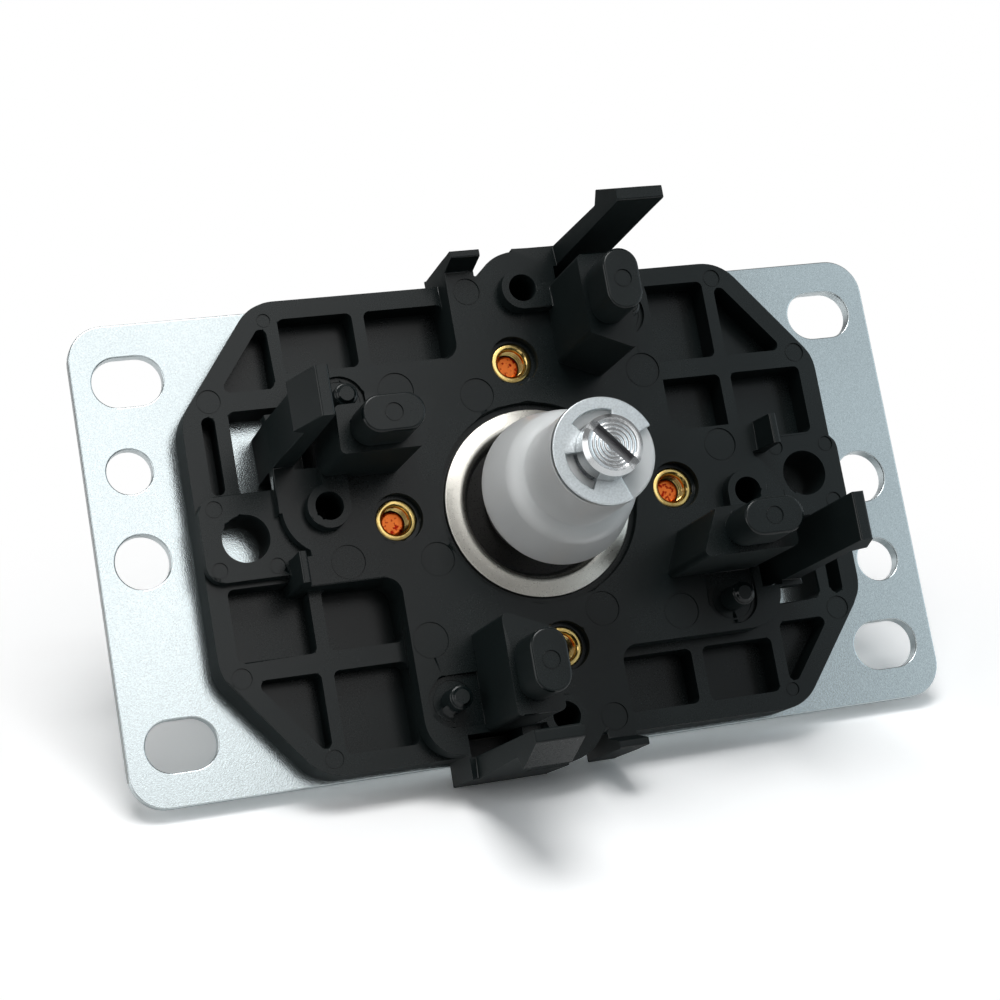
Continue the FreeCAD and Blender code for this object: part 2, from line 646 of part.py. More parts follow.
def actuator():
    """A bell: a boss under the retaining clip, a rounded shoulder and a flared skirt."""
    boss, shoulder = ACTUATOR_BOSS_DIAMETER / 2, ACTUATOR_SHOULDER_DIAMETER / 2
    skirt = ACTUATOR_SKIRT_DIAMETER / 2
    bore = SHAFT_LOWER_DIAMETER / 2 + SHAFT_FIT
    room = SPRING_DIAMETER / 2 + SPRING_SIDE_CLEARANCE
    edge = ACTUATOR_EDGE_RADIUS
    outline = [
        (bore, SPRING_TOP), (bore, ACTUATOR_TOP), (boss, ACTUATOR_TOP), (boss, ACTUATOR_NECK_HEIGHT),
        (shoulder, ACTUATOR_SHOULDER_HEIGHT), (skirt, ACTUATOR_SKIRT_BOTTOM),
        (skirt - ACTUATOR_SKIRT_THICKNESS, ACTUATOR_SKIRT_BOTTOM), (room, SPRING_TOP),
    ]
    return turned(outline, [0, 0, edge, ACTUATOR_NECK_RADIUS, ACTUATOR_SHOULDER_RADIUS, edge, edge, 0])


def retaining_clip():
    """A stamped open ring with three inner teeth that sit in the shaft's groove."""
    low, high = RETAINER_BOTTOM, RETAINER_BOTTOM + RETAINER_THICKNESS
    ring = disc(RETAINER_DIAMETER, 0, 0, low, high)

    def sector(start, span, diameter):
        height = RETAINER_THICKNESS + 2 * OVERRUN
        wedge = Part.makeCylinder(diameter / 2, height, Vector(0, 0, low - OVERRUN), UP, span)
        wedge.rotate(Vector(0, 0, 0), UP, start)
        return wedge

    span = RETAINER_WINDOW_SPAN
    window_start = RETAINER_BACK_ANGLE + RETAINER_BACK_TOOTH / 2
    other_window_start = RETAINER_BACK_ANGLE - RETAINER_BACK_TOOTH / 2 - span
    mouth_start = RETAINER_BACK_ANGLE + 180 - RETAINER_MOUTH_SPAN / 2
    cuts = [
        disc(RETAINER_GRIP_DIAMETER, 0, 0, low - OVERRUN, high + OVERRUN),
        sector(window_start, span, RETAINER_WINDOW_DIAMETER),
        sector(other_window_start, span, RETAINER_WINDOW_DIAMETER),
        sector(mouth_start, RETAINER_MOUTH_SPAN, 2 * RETAINER_DIAMETER),
    ]
    return ring.cut(cuts)


def write(name, shape):
    shape.exportStep("parts/" + name + ".step")


def main():
    os.makedirs("parts", exist_ok=True)
    write("mounting_plate", mounting_plate())
    write("housing", turn_over(housing()))
    for number, (x, y) in enumerate(screw_places(), 1):
        write("plate_screw_%d" % number, plate_screw(x, y))
        write("brass_insert_%d" % number, turn_over(brass_insert(x, -y)))
    write("pivot_socket", turn_over(pivot_socket()))
    write("pivot_ball", turn_over(pivot_ball()))
    write("shaft", turn_over(shaft()))
    write("spring_holder", turn_over(spring_holder()))
    write("return_spring", turn_over(return_spring()))
    write("actuator", turn_over(actuator()))
    write("retaining_clip", turn_over(retaining_clip()))


main()
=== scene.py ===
import json
import math

import bpy
from mathutils import Matrix, Vector


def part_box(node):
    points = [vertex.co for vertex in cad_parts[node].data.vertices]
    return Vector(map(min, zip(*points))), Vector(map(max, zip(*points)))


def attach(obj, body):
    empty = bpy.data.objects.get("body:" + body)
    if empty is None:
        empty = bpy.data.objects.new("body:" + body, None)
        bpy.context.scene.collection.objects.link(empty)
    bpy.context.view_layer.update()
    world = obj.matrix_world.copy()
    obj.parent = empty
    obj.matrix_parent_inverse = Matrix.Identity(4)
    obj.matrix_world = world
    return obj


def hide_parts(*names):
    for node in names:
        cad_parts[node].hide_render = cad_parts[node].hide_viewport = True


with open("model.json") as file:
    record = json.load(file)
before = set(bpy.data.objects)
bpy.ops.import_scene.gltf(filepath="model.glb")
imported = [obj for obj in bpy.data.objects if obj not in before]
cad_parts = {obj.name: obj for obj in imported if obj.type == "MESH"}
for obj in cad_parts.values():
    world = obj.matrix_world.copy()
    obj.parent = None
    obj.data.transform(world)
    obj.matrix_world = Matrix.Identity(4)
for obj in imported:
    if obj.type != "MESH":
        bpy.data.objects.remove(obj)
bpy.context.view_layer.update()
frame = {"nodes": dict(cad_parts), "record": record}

bl_info = {
    "name": "Arcade joystick lever",
    "version": (1, 0, 0),
    "blender": (4, 5, 0),
    "location": "3D View > Sidebar > Lever",
    "description": "Gives the pieces of a joystick lever their edges, threads and finishes",
    "category": "Object",
}

MM = 0.001
BACK_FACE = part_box("mounting_plate")[0].z
BODY_OF = {node: body for body, nodes in frame["record"]["behaviour"]["bodies"].items()
           for node in nodes}
SCREWS = ["plate_screw_%d" % number for number in range(1, 5)]
INSERTS = ["brass_insert_%d" % number for number in range(1, 5)]

# Corners nearer than these are merged, in a copied node and in a piece of its own
NODE_MERGE = 0.001 * MM
MERGE = 0.0005 * MM

# Faces that turn by less than FLAT are one face, and edges that turn by more than SHARP are rounded
FLAT = math.radians(0.5)
SHARP = math.radians(40)

# How far a cutter reaches past the face that it cuts
CUT_PAST = 0.1 * MM

# Where the studio's floor and camera are, seen from the lever lying on its side
FLOOR_UP = Vector((0.0, -0.839, -0.544)).normalized()
FLOOR_DEPTH = 23.3 * MM
CAMERA_PLACE = Vector((-83.668, 46.573, -253.622)) * MM
CAMERA_RIGHT = Vector((0.94632, 0.17152, -0.27399))
CAMERA_UP = Vector((0.11083, -0.96840, -0.22342))
BLUE_WHITE = (0.84, 0.98, 1.06)


def hung(height):
    """The Z of a height counted in metres from the plate's back face."""
    return BACK_FACE - height


def across(node):
    """A round node's radius."""
    low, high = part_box(node)
    return (high.y - low.y) / 2


# Modelling by hand


def deselect():
    bpy.ops.object.select_all(action="DESELECT")


def pick(*pieces):
    """Selects these objects alone and makes the first one active."""
    deselect()
    for piece in pieces:
        piece.select_set(True)
    bpy.context.view_layer.objects.active = pieces[0]


def apply(piece, kind, **settings):
    """Adds a modifier with its settings and applies it."""
    pick(piece)
    modifier = piece.modifiers.new(kind.lower(), kind)
    for name, value in settings.items():
        setattr(modifier, name, value)
    bpy.ops.object.modifier_apply(modifier=modifier.name)


def copy_node(node, name):
    """A copy of a node's mesh, its loose triangles merged and its flat faces made whole."""
    piece = bpy.data.objects.new(name, frame["nodes"][node].data.copy())
    bpy.context.scene.collection.objects.link(piece)
    piece.data.materials.clear()
    pick(piece)
    bpy.ops.object.mode_set(mode="EDIT")
    bpy.ops.mesh.select_all(action="SELECT")
    bpy.ops.mesh.remove_doubles(threshold=NODE_MERGE)
    bpy.ops.mesh.dissolve_limited(angle_limit=FLAT)
    bpy.ops.object.mode_set(mode="OBJECT")
    return piece


def round_edges(piece, width, segments=2):
    """Rounds every sharp edge of the piece."""
    apply(piece, "BEVEL", width=width, segments=segments, limit_method="ANGLE", angle_limit=SHARP,
          use_clamp_overlap=False)


def shade(piece, angle=35):
    """Smooth shading that keeps flat faces flat beside their rounded edges."""
    pick(piece)
    bpy.ops.object.shade_smooth_by_angle(angle=math.radians(angle))
    apply(piece, "WEIGHTED_NORMAL", keep_sharp=True)


def draw(name, points):
    """A chain of edges through the points, drawn by extruding one corner."""
    points = [Vector(point) for point in points]
    deselect()
    bpy.ops.mesh.primitive_plane_add(size=MM)
    piece = bpy.context.object
    piece.name = name
    bpy.ops.object.mode_set(mode="EDIT")
    bpy.ops.mesh.merge(type="CENTER")
    bpy.ops.transform.translate(value=points[0])
    for here, there in zip(points, points[1:]):
        bpy.ops.mesh.extrude_region_move(TRANSFORM_OT_translate={"value": there - here})
    bpy.ops.mesh.select_all(action="SELECT")
    bpy.ops.object.mode_set(mode="OBJECT")
    return piece


def close_up(piece):
    """Merges doubled corners, fills what is open and turns every face outwards."""
    pick(piece)
    bpy.ops.object.mode_set(mode="EDIT")
    bpy.ops.mesh.select_all(action="SELECT")
    bpy.ops.mesh.remove_doubles(threshold=MERGE)
    bpy.ops.mesh.select_all(action="DESELECT")
    bpy.ops.mesh.select_non_manifold()
    if piece.data.total_edge_sel:
        bpy.ops.mesh.fill()
    bpy.ops.mesh.select_all(action="SELECT")
    bpy.ops.mesh.normals_make_consistent(inside=False)
    bpy.ops.object.mode_set(mode="OBJECT")


def turned(name, outline, steps=128):
    """Spins a closed outline of (radius, Z) points once round the shaft's axis."""
    piece = draw(name, [(radius, 0, z) for radius, z in outline + outline[:1]])
    bpy.ops.object.mode_set(mode="EDIT")
    bpy.ops.mesh.select_all(action="SELECT")
    bpy.ops.mesh.remove_doubles(threshold=MERGE)
    bpy.ops.mesh.spin(steps=steps, angle=2 * math.pi, center=(0, 0, 0), axis=(0, 0, 1))
    bpy.ops.object.mode_set(mode="OBJECT")
    close_up(piece)
    return piece


def cut_away(piece, cutter):
    """Cuts the cutter's shape out of the piece, and uses the cutter up."""
    apply(piece, "BOOLEAN", object=cutter, operation="DIFFERENCE", solver="EXACT")
    bpy.data.objects.remove(cutter)


def rod(name, radius, low, high, x, y, sides=48):
    """An upright cylinder between two heights."""
    deselect()
    bpy.ops.mesh.primitive_cylinder_add(vertices=sides, radius=radius, depth=high - low,
                                        location=(x, y, (low + high) / 2))
    bpy.context.object.name = name
    bpy.ops.object.transform_apply()
    return bpy.context.object


def join(pieces):
    """Makes the pieces one object."""
    pick(*pieces)
    bpy.ops.object.join()
    return bpy.context.object


def thread_ridge(name, root, crest, pitch, low, high, steps=48):
    """A ridge wound as a screw thread, narrow at the root radius and wide at the crest radius."""
    wide, narrow = 0.46 * pitch, 0.06 * pitch
    corners = [(root, 0, low - narrow), (crest, 0, low - wide),
               (crest, 0, low + wide), (root, 0, low + narrow)]
    piece = draw(name, corners + corners[:1])
    turns = math.ceil((high - low) / pitch)
    apply(piece, "SCREW", angle=2 * math.pi, screw_offset=pitch, iterations=turns, steps=steps,
          render_steps=steps, use_merge_vertices=True, merge_threshold=MERGE)
    close_up(piece)
    return piece


def middle(node):
    """The middle of a node's box."""
    low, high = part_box(node)
    return (low + high) / 2


def slide(piece, move):
    """Moves the piece's mesh, and leaves its object at the origin."""
    pick(piece)
    bpy.ops.object.mode_set(mode="EDIT")
    bpy.ops.mesh.select_all(action="SELECT")
    bpy.ops.transform.translate(value=move)
    bpy.ops.object.mode_set(mode="OBJECT")


def repeat(piece, name, nodes):
    """Copies the first node's piece to each other node, each copy with its own mesh."""
    pieces = [piece]
    for node in nodes[1:]:
        pick(piece)
        bpy.ops.object.duplicate()
        copy = bpy.context.object
        slide(copy, middle(node) - middle(nodes[0]))
        pieces.append(copy)
    for copy, node in zip(pieces, nodes):
        copy.name = name + node[-1]
        settle(copy, node)


def paint(piece, material):
    """Gives the whole piece one finish."""
    piece.data.materials.clear()
    piece.data.materials.append(material)


def settle(piece, node):
    """The piece stands for a node: it moves with its body, and the node is hidden."""
    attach(piece, BODY_OF[node])
    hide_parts(node)


# Finishes

SPECK = (0.05, 0.05, 0.05)
# Painted shade inside the spring holder's bowl, a deep tone and a paler one
BOWL_SHADE_DEEP = (0.012, 0.012, 0.012)
BOWL_SHADE_PALE = (0.05, 0.048, 0.045)
# Colour inside the screwdriver slot, darker than the shaft
SLOT_TONE = (0.20, 0.20, 0.21)
THICK_LACQUER = (0.45, 0.01, 0.0)
THIN_LACQUER = (1.0, 0.24, 0.045)
# Painted shade on the screws' threads inside the inserts' bores
PAINTED_THREAD_SHADE = (0.10, 0.085, 0.07)
FLOOR_WHITE = (0.92, 0.92, 0.92)


class Value:
    """A shader socket that can be reckoned with in plain expressions."""

    def __init__(self, finish, socket):
        self.finish = finish
        self.socket = socket

    def reckon(self, operation, *terms):
        return self.finish.node("Math", {"operation": operation}, dict(enumerate(terms)))

    def __add__(self, other):
        return self.reckon("ADD", self, other)

    def __radd__(self, other):
        return self.reckon("ADD", other, self)

    def __sub__(self, other):
        return self.reckon("SUBTRACT", self, other)

    def __rsub__(self, other):
        return self.reckon("SUBTRACT", other, self)

    def __mul__(self, other):
        return self.reckon("MULTIPLY", self, other)

    def __rmul__(self, other):
        return self.reckon("MULTIPLY", other, self)

    def __abs__(self):
        return self.reckon("ABSOLUTE", self)

    def clamp(self):
        return self.finish.node("Clamp", {}, {0: self})

    def ramp(self, low, high):
        """0 below low, 1 above high, and smooth between."""
        return self.finish.node("MapRange", {"interpolation_type": "SMOOTHSTEP"},
                                {0: self, 1: low, 2: high})


class Finish:
    """One material's nodes."""

    def __init__(self, name):
        self.material = bpy.data.materials.new(name)
        self.material.use_nodes = True
        self.tree = self.material.node_tree
        self.tree.nodes.clear()
        self.place = self.node("TexCoord", {}, {}, "Object")

    def node(self, kind, settings, inputs, output=0):
        """Adds a node, sets its settings and then its sockets, and gives one of its outputs."""
        node = self.tree.nodes.new("ShaderNode" + kind)
        for name, value in settings.items():
            setattr(node, name, value)
        for name, value in inputs.items():
            if isinstance(value, Value):
                self.tree.links.new(value.socket, node.inputs[name])
            else:
                node.inputs[name].default_value = value
        return Value(self, node.outputs[output])

    def noise(self, size, detail=2.0, roughness=0.5):
        """Noise from 0 to 1 whose lumps are about size metres apart."""
        return self.node("TexNoise", {}, {"Vector": self.place, "Scale": 1 / size, "Detail": detail,
                                          "Roughness": roughness})

    def rings(self, width, place):
        """Noise in lines about width metres apart along one measure, such as a radius."""
        return self.node("TexNoise", {"noise_dimensions": "1D"},
                         {"W": place, "Scale": 1 / width, "Detail": 2.0})

    def part(self, name, vector=None):
        """One coordinate of the place on the object, or of another vector."""
        return self.node("SeparateXYZ", {}, {0: vector or self.place}, name)

    def mix(self, low, high, factor):
        """A colour between two colours."""
        return self.node("Mix", {"data_type": "RGBA"}, {0: factor, 6: low, 7: high}, 2)

    def bump(self, height, distance, strength=1.0):
        """A normal tilted by the height, whose full range stands distance metres high."""
        return self.node("Bump", {}, {"Height": height, "Distance": distance, "Strength": strength})

    def distance(self, vector):
        """How far a vector reaches."""
        return self.node("VectorMath", {"operation": "LENGTH"}, {0: vector}, "Value")

    def round_axis(self):
        """The distance from the shaft's axis."""
        flat = self.node("VectorMath", {"operation": "MULTIPLY"}, {0: self.place, 1: (1, 1, 0)})
        return self.distance(flat)

    def shader(self, **sockets):
        """The shader of metals and plastics, its sockets named with _ for a space."""
        inputs = {name.replace("_", " "): value for name, value in sockets.items()}
        return self.node("BsdfPrincipled", {}, inputs)

    def surface(self, **sockets):
        """The material, made of one such shader."""
        return self.show(self.shader(**sockets))

    def show(self, shader):
        """The material, with this shader at its output."""
        output = self.tree.nodes.new("ShaderNodeOutputMaterial")
        self.tree.links.new(shader.socket, output.inputs["Surface"])
        return self.material


def rgb(colour, factor=1.0):
    """A colour for a socket, made darker or paler by the factor."""
    return (*(factor * part for part in colour[:3]), 1.0)


def zinc(name, colour, grain, relief, roughness, end=1.0):
    """Bright zinc with a fine sparkling spangle in faint clouds.

    Past end, in metres along X, it is darkened with painted shade on the plate's end faces. No piece
    reaches the default.
    """
    f = Finish(name)
    spangle = f.noise(grain, roughness=0.6)
    clouds = f.noise(14 * MM, 3.0)
    bright = f.mix(rgb(colour, 0.70), rgb(colour), (spangle * 1.6 + clouds * 0.5 - 0.55).clamp())
    # Painted shade on the faces that lie past end along X
    painted_end_shade = abs(f.part("X")).ramp(end, end + 0.03 * MM)
    return f.surface(
        Base_Color=f.mix(bright, rgb(colour, 0.30), painted_end_shade),
        Metallic=1.0,
        Roughness=roughness + 0.08 * spangle + 0.05 * clouds,
        Normal=f.bump(spangle, relief))


def black_moulding(colours):
    """Satin black plastic with a fine eroded grain, a little paler where rubbed, and matte walls."""
    f = Finish("black_moulding")
    level = abs(f.part("Z", f.node("TexCoord", {}, {}, "Normal")))
    grain = f.noise(0.22 * MM, 3.0)
    flow = f.noise(9 * MM, 4.0)
    specks = f.noise(0.5 * MM, 1.0).ramp(0.80, 0.86)
    worn = f.mix(rgb(colours.moulding), rgb(colours.moulding, 1.6), (flow * 1.6 - 0.45).clamp())
    relief = f.bump(grain + 4.0 * flow, 0.006 * MM, 0.5)
    walls = f.shader(
        Base_Color=worn,
        Roughness=0.62 + 0.10 * grain,
        Specular_IOR_Level=0.12,
        Normal=relief)
    faces = f.shader(
        Base_Color=f.mix(worn, rgb(SPECK), specks * 0.6),
        Roughness=0.10 + 0.09 * level.ramp(0.90, 0.99) + 0.10 * flow + 0.05 * grain,
        Specular_IOR_Level=0.36,
        Normal=relief)
    return f.show(f.node("MixShader", {}, {0: level.ramp(0.15, 0.5), 1: walls, 2: faces}))


def milky(colours):
    """Natural nylon that light soaks into."""
    f = Finish("clear_nylon")
    haze = f.noise(5 * MM)
    pale = [min(1.0, 1.06 * part) for part in colours.bell]
    return f.surface(
        Base_Color=f.mix(rgb(colours.bell), rgb(pale), haze),
        Roughness=0.30 + 0.06 * haze,
        Subsurface_Weight=0.85,
        Subsurface_Radius=(1.0, 1.0, 1.0),
        Subsurface_Scale=2.8 * MM,
        Specular_IOR_Level=0.4,
        Normal=f.bump(f.noise(0.5 * MM), 0.003 * MM, 0.3))


def brushed_ring(colours, bowl):
    """Pressed steel with fine circular scratches, and painted shade inside the bowl's radius, where it
    is made deeper in tone and less metallic.
    """
    f = Finish("holder_steel")
    reach = f.round_axis()
    lines = f.rings(0.045 * MM, reach)
    sand = f.noise(0.16 * MM)
    shine = (0.25 + 0.5 * lines + 0.4 * sand).clamp()
    bright = f.mix(rgb(colours.steel, 0.72), rgb(colours.steel), shine)
    # Painted shade in the bowl under the bell, and the mask of where the steel shows outside it
    painted_bowl_shade = f.mix(rgb(BOWL_SHADE_DEEP), rgb(BOWL_SHADE_PALE), sand)
    outside_bowl_shade = (reach + 0.5 * MM * sand).ramp(bowl, bowl + 0.4 * MM)
    return f.surface(
        Base_Color=f.mix(painted_bowl_shade, bright, outside_bowl_shade),
        Metallic=0.3 + 0.7 * outside_bowl_shade,
        Roughness=0.24 + 0.10 * sand,
        Normal=f.bump(lines * 0.6 + sand, 0.010 * MM, 0.6))


def turned_steel(colours, tip, slot_depth, slot_reach):
    """Plated steel with fine tool lines round the axis, darker and rougher inside the screwdriver slot.
    """
    f = Finish("plated_shaft")
    along, reach = f.part("Z"), f.round_axis()
    lines = f.rings(0.07 * MM, along + reach)
    grain = f.noise(0.3 * MM)
    shine = (lines * 1.5 + grain * 0.5 - 0.45).clamp()
    metal = f.mix(rgb(colours.shaft, 0.74), rgb(colours.shaft), shine)
    depth = along - tip
    sunk = depth.ramp(0.10 * MM, 0.25 * MM) * (1.0 - depth.ramp(slot_depth, 1.2 * slot_depth))
    slot = sunk * (1.0 - reach.ramp(slot_reach, slot_reach + 0.1 * MM))
    return f.surface(
        Base_Color=f.mix(metal, rgb(SLOT_TONE), slot * 0.85),
        Metallic=1.0,
        Roughness=0.16 + 0.08 * grain + 0.2 * slot,
        Normal=f.bump(lines + 0.4 * grain + 3.0 * f.noise(0.7 * MM, 1.0), 0.010 * MM, 0.7))


def brass(colours):
    """Turned brass, redder in its clouds."""
    f = Finish("insert_brass")
    grain = f.noise(0.35 * MM)
    warm = [part * factor for part, factor in zip(colours.brass, (0.80, 0.66, 0.45))]
    return f.surface(
        Base_Color=f.mix(rgb(warm), rgb(colours.brass), (grain * 1.4 - 0.2).clamp()),
        Metallic=1.0,
        Roughness=0.14 + 0.10 * grain,
        Normal=f.bump(grain, 0.010 * MM, 0.5))


def screw_finish(colours, tip):
    """Plated steel, with dried orange thread lacquer on the end that shows in the insert, and painted
    shade on the thread within 4.2 mm of the end.
    """
    f = Finish("screw_steel")
    blots = f.noise(0.5 * MM, 3.0)
    depth = f.part("Z") - tip
    lacquer = 1.0 - depth.ramp(0.05 * MM, 0.30 * MM)
    paint_colour = f.mix(rgb(THICK_LACQUER), rgb(THIN_LACQUER), blots.ramp(0.38, 0.46))
    # Painted shade on the thread near the end, down in the insert's bore
    dark = 1.0 - depth.ramp(4.2 * MM, 4.6 * MM)
    metal = f.mix(rgb(colours.zinc), rgb(PAINTED_THREAD_SHADE), dark)
    return f.surface(
        Base_Color=f.mix(metal, paint_colour, lacquer),
        Metallic=1.0 - 0.15 * lacquer,
        Roughness=0.26 + 0.14 * blots,
        Normal=f.bump(blots, 0.05 * MM, 0.6))


def plain_plastic(name, colour, roughness):
    """Smooth plastic with faint clouds."""
    f = Finish(name)
    cloud = f.noise(3 * MM, 3.0)
    return f.surface(
        Base_Color=f.mix(rgb(colour, 0.86), rgb(colour), cloud),
        Roughness=roughness + 0.1 * cloud,
        Normal=f.bump(f.noise(0.3 * MM), 0.004 * MM, 0.4))


def wire_finish(colours):
    """Drawn spring wire with darker spots."""
    f = Finish("spring_steel")
    streak = f.noise(0.4 * MM, 3.0)
    return f.surface(
        Base_Color=f.mix(rgb(colours.wire, 0.55), rgb(colours.wire), streak),
        Metallic=1.0,
        Roughness=0.30 + 0.12 * streak,
        Normal=f.bump(streak, 0.006 * MM, 0.5))


# What a user can change


def length(name, default, description):
    """A length, its default given in millimetres."""
    return bpy.props.FloatProperty(name=name, description=description, default=default * MM, min=0.0,
                                   precision=5, unit="LENGTH")


def power(name, default, description):
    """A lamp's power in watts."""
    return bpy.props.FloatProperty(name=name, description=description, default=default, unit="POWER")


def tint(name, default, description):
    """A colour."""
    return bpy.props.FloatVectorProperty(name=name, description=description, default=default, size=3,
                                         min=0.0, max=1.0, subtype="COLOR")


class LeverSizes(bpy.types.PropertyGroup):
    """Sizes of edges, threads and small forms"""
    moulding_edge: length("Moulding edge", 0.17, "Rounding of the housing's edges")
    plate_edge: length("Plate edge", 0.16, "Rounding of the punched plate's edges")
    fine_edge: length("Fine edge", 0.07, "Rounding of small metal pieces")
    clip_edge: length("Clip edge", 0.14, "Rounding of the stamped retaining clip")
    mark_depth: length("Mark depth", 0.10, "Depth of the ejector marks")
    pin: length("Pin", 1.3, "Radius of the locating pins")
    pin_ring: length("Pin ring", 2.15, "Radius of the ring round a locating pin")
    knob_pitch: length("Knob thread pitch", 1.0, "Pitch of the thread for the knob")
    knob_thread_depth: length("Knob thread depth", 0.58, "Depth of the thread for the knob")
    screw_pitch: length("Screw pitch", 0.5, "Pitch of the plate screws")
    screw_thread_depth: length("Screw thread depth", 0.28, "Depth of the screws' and inserts' threads")
    insert_bore: length("Insert bore", 1.52, "Radius of the hole in a brass insert")
    insert_edge: length("Insert edge", 0.18, "Rounding of the brass inserts' edges")
    insert_flange: length("Insert flange", 0.6, "Thickness of the brass inserts' flange")
    insert_body: length("Insert body", 2.1, "Radius of the brass inserts under the flange")
    screw_gap: length("Screw gap", 0.8, "How far the plate screws stop short of their full reach")
    holder_bead: length("Holder bead", 0.35, "Height that the spring holder's band rises inwards")
    holder_band: length("Holder band", 2.0, "Width of the spring holder's bright sloping band")
    holder_steel: length("Holder steel", 0.8, "Thickness of the spring holder's steel")
    holder_hole: length("Holder hole", 5.2, "Radius of the spring holder's hole")
    knob_thread_length: length("Knob thread length", 9.5, "Length of the thread for the knob")
    knob_thread_radius: length("Knob thread radius", 3.0, "Radius of the thread for the knob")
    lower_radius: length("Lower shaft radius", 3.2, "Radius of the shaft under the pivot")
    groove_radius: length("Groove radius", 2.6, "Radius of the retaining clip's groove")
    groove_width: length("Groove width", 0.9, "Width of the retaining clip's groove")
    tip_chamfer: length("Tip chamfer", 0.45, "Chamfer of the shaft's lower end")
    tip_ring: length("Tip ring", 0.42, "Distance between the turned rings of the lower end")
    tip_ring_depth: length("Tip ring depth", 0.06, "Depth of the turned rings")
    slot_width: length("Slot width", 1.1, "Width of the screwdriver slot")
    slot_depth: length("Slot depth", 1.0, "Depth of the screwdriver slot")
    slot_angle: bpy.props.FloatProperty(name="Slot angle", default=math.radians(50), subtype="ANGLE",
                                        description="Direction of the screwdriver slot")


class LeverColours(bpy.types.PropertyGroup):
    """Colours of the materials"""
    moulding: tint("Moulding", (0.0040, 0.0070, 0.0072), "Housing plastic")
    zinc: tint("Zinc", (0.75, 0.83, 0.85), "Plate and screw heads")
    clip: tint("Clip zinc", (0.76, 0.81, 0.83), "Retaining clip")
    shaft: tint("Shaft", (0.80, 0.82, 0.83), "Plated shaft")
    steel: tint("Holder steel", (0.72, 0.70, 0.64), "Spring holder")
    wire: tint("Spring wire", (0.42, 0.42, 0.41), "Return spring")
    brass: tint("Brass", (0.96, 0.76, 0.32), "Threaded inserts")
    bell: tint("Bell", (0.72, 0.74, 0.74), "Actuator")
    socket: tint("Socket", (0.80, 0.80, 0.76), "Pivot socket")
    ball: tint("Ball", (0.02, 0.02, 0.022), "Pivot ball")


class LeverStage(bpy.types.PropertyGroup):
    """The studio's camera, lamps and floor"""
    lens: bpy.props.FloatProperty(name="Lens", description="Focal length of the camera", default=86.361,
                                  unit="CAMERA")
    world: bpy.props.FloatProperty(name="World", description="Strength of the even light", default=0.12)
    key: power("Key", 1.5, "Power of the key lamp")
    front: power("Front", 0.31, "Power of the lamp near the camera")
    low: power("Low", 0.06, "Power of the small lamp that the plate's lower end shows")
    side: power("Right side", 0.50, "Power of the wide lamp at the right")
    window: power("Window", 0.29, "Power of the small lamp at the right")
    fill: power("Fill", 1.1, "Power of the fill lamp at the left")
    back: power("Panel side", 2.0, "Power of the lamp for the panel side")
    gloss: bpy.props.FloatProperty(name="Reflected white", default=0.26,
                                   description="How white reflections see the background")
    floor_gain: bpy.props.FloatProperty(name="Floor gain", default=1.38,
                                        description="How much paler the camera sees the floor")
    white_from: length("White from", 46.0, "Where the floor starts to fade to white")
    white_at: length("White at", 85.0, "Where the floor is all white")


# Ejector marks as (x, y, diameter) in millimetres, y counted towards the upper edge in the photo
DECK_MARKS = [(-14.0, 14.0, 4.0), (-4.95, 12.6, 3.8), (-22.3, -4.1, 3.7), (-12.5, -4.95, 3.7),
              (-14.8, -13.55, 3.9), (-4.1, 24.4, 3.0)]
RIM_MARKS = [(-26.6, 24.05, 1.5), (-33.95, 15.6, 2.6), (-34.95, -14.55, 2.2), (-26.5, -24.3, 2.0)]
EAR_MARKS = [(-35.45, 3.5, 1.8), (-35.8, -3.1, 1.7), (-29.6, -3.3, 1.7)]
POST_MARKS = [(7.62, 19.42, 1.9), (-19.42, 7.62, 1.9)]

# How far outside its face a mark's cutter starts, and how near to a mark's rim a corner is on it
MARK_CLEARANCE = 0.05 * MM

# Heights of the moulding's faces over the plate's back face
DECK_TOP = 8.0 * MM
RIM_TOP = 5.0 * MM
EAR_TOP = 6.5 * MM
POST_TOP = 25.2 * MM
PIN_TOP = 11.5 * MM
PIN_SEAT = 7.5 * MM

# Where the locating pins stand, how wide the groove round each is, and the outline of the step cut
# from its tip, in millimetres outwards from its side and from its tip towards the plate
PINS = [(side * x * MM, side * y * MM)
        for x, y in ((13.4, -20.35), (20.35, 13.4)) for side in (1, -1)]
PIN_GROOVE = 0.2 * MM
PIN_STEP = [(-0.34, 0.36), (0.3, 0.46), (0.3, -0.2), (-0.52, -0.2), (-0.52, 0.0), (-0.42, 0.08)]


class LEVER_OT_plate(bpy.types.Operator):
    """Rolls the punched plate's edges and plates it with zinc"""
    bl_idname = "lever.plate"
    bl_label = "Mounting plate"

    def execute(self, context):
        sizes, colours = context.scene.lever_sizes, context.scene.lever_colours
        plate = copy_node("mounting_plate", "zinc_mounting_plate")
        round_edges(plate, sizes.plate_edge, 3)
        shade(plate)
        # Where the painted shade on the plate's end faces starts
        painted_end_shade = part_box("mounting_plate")[1].x - 0.08 * MM
        paint(plate, zinc("zinc_plate", colours.zinc, 0.15 * MM, 0.012 * MM, 0.10, painted_end_shade))
        settle(plate, "mounting_plate")
        return {"FINISHED"}


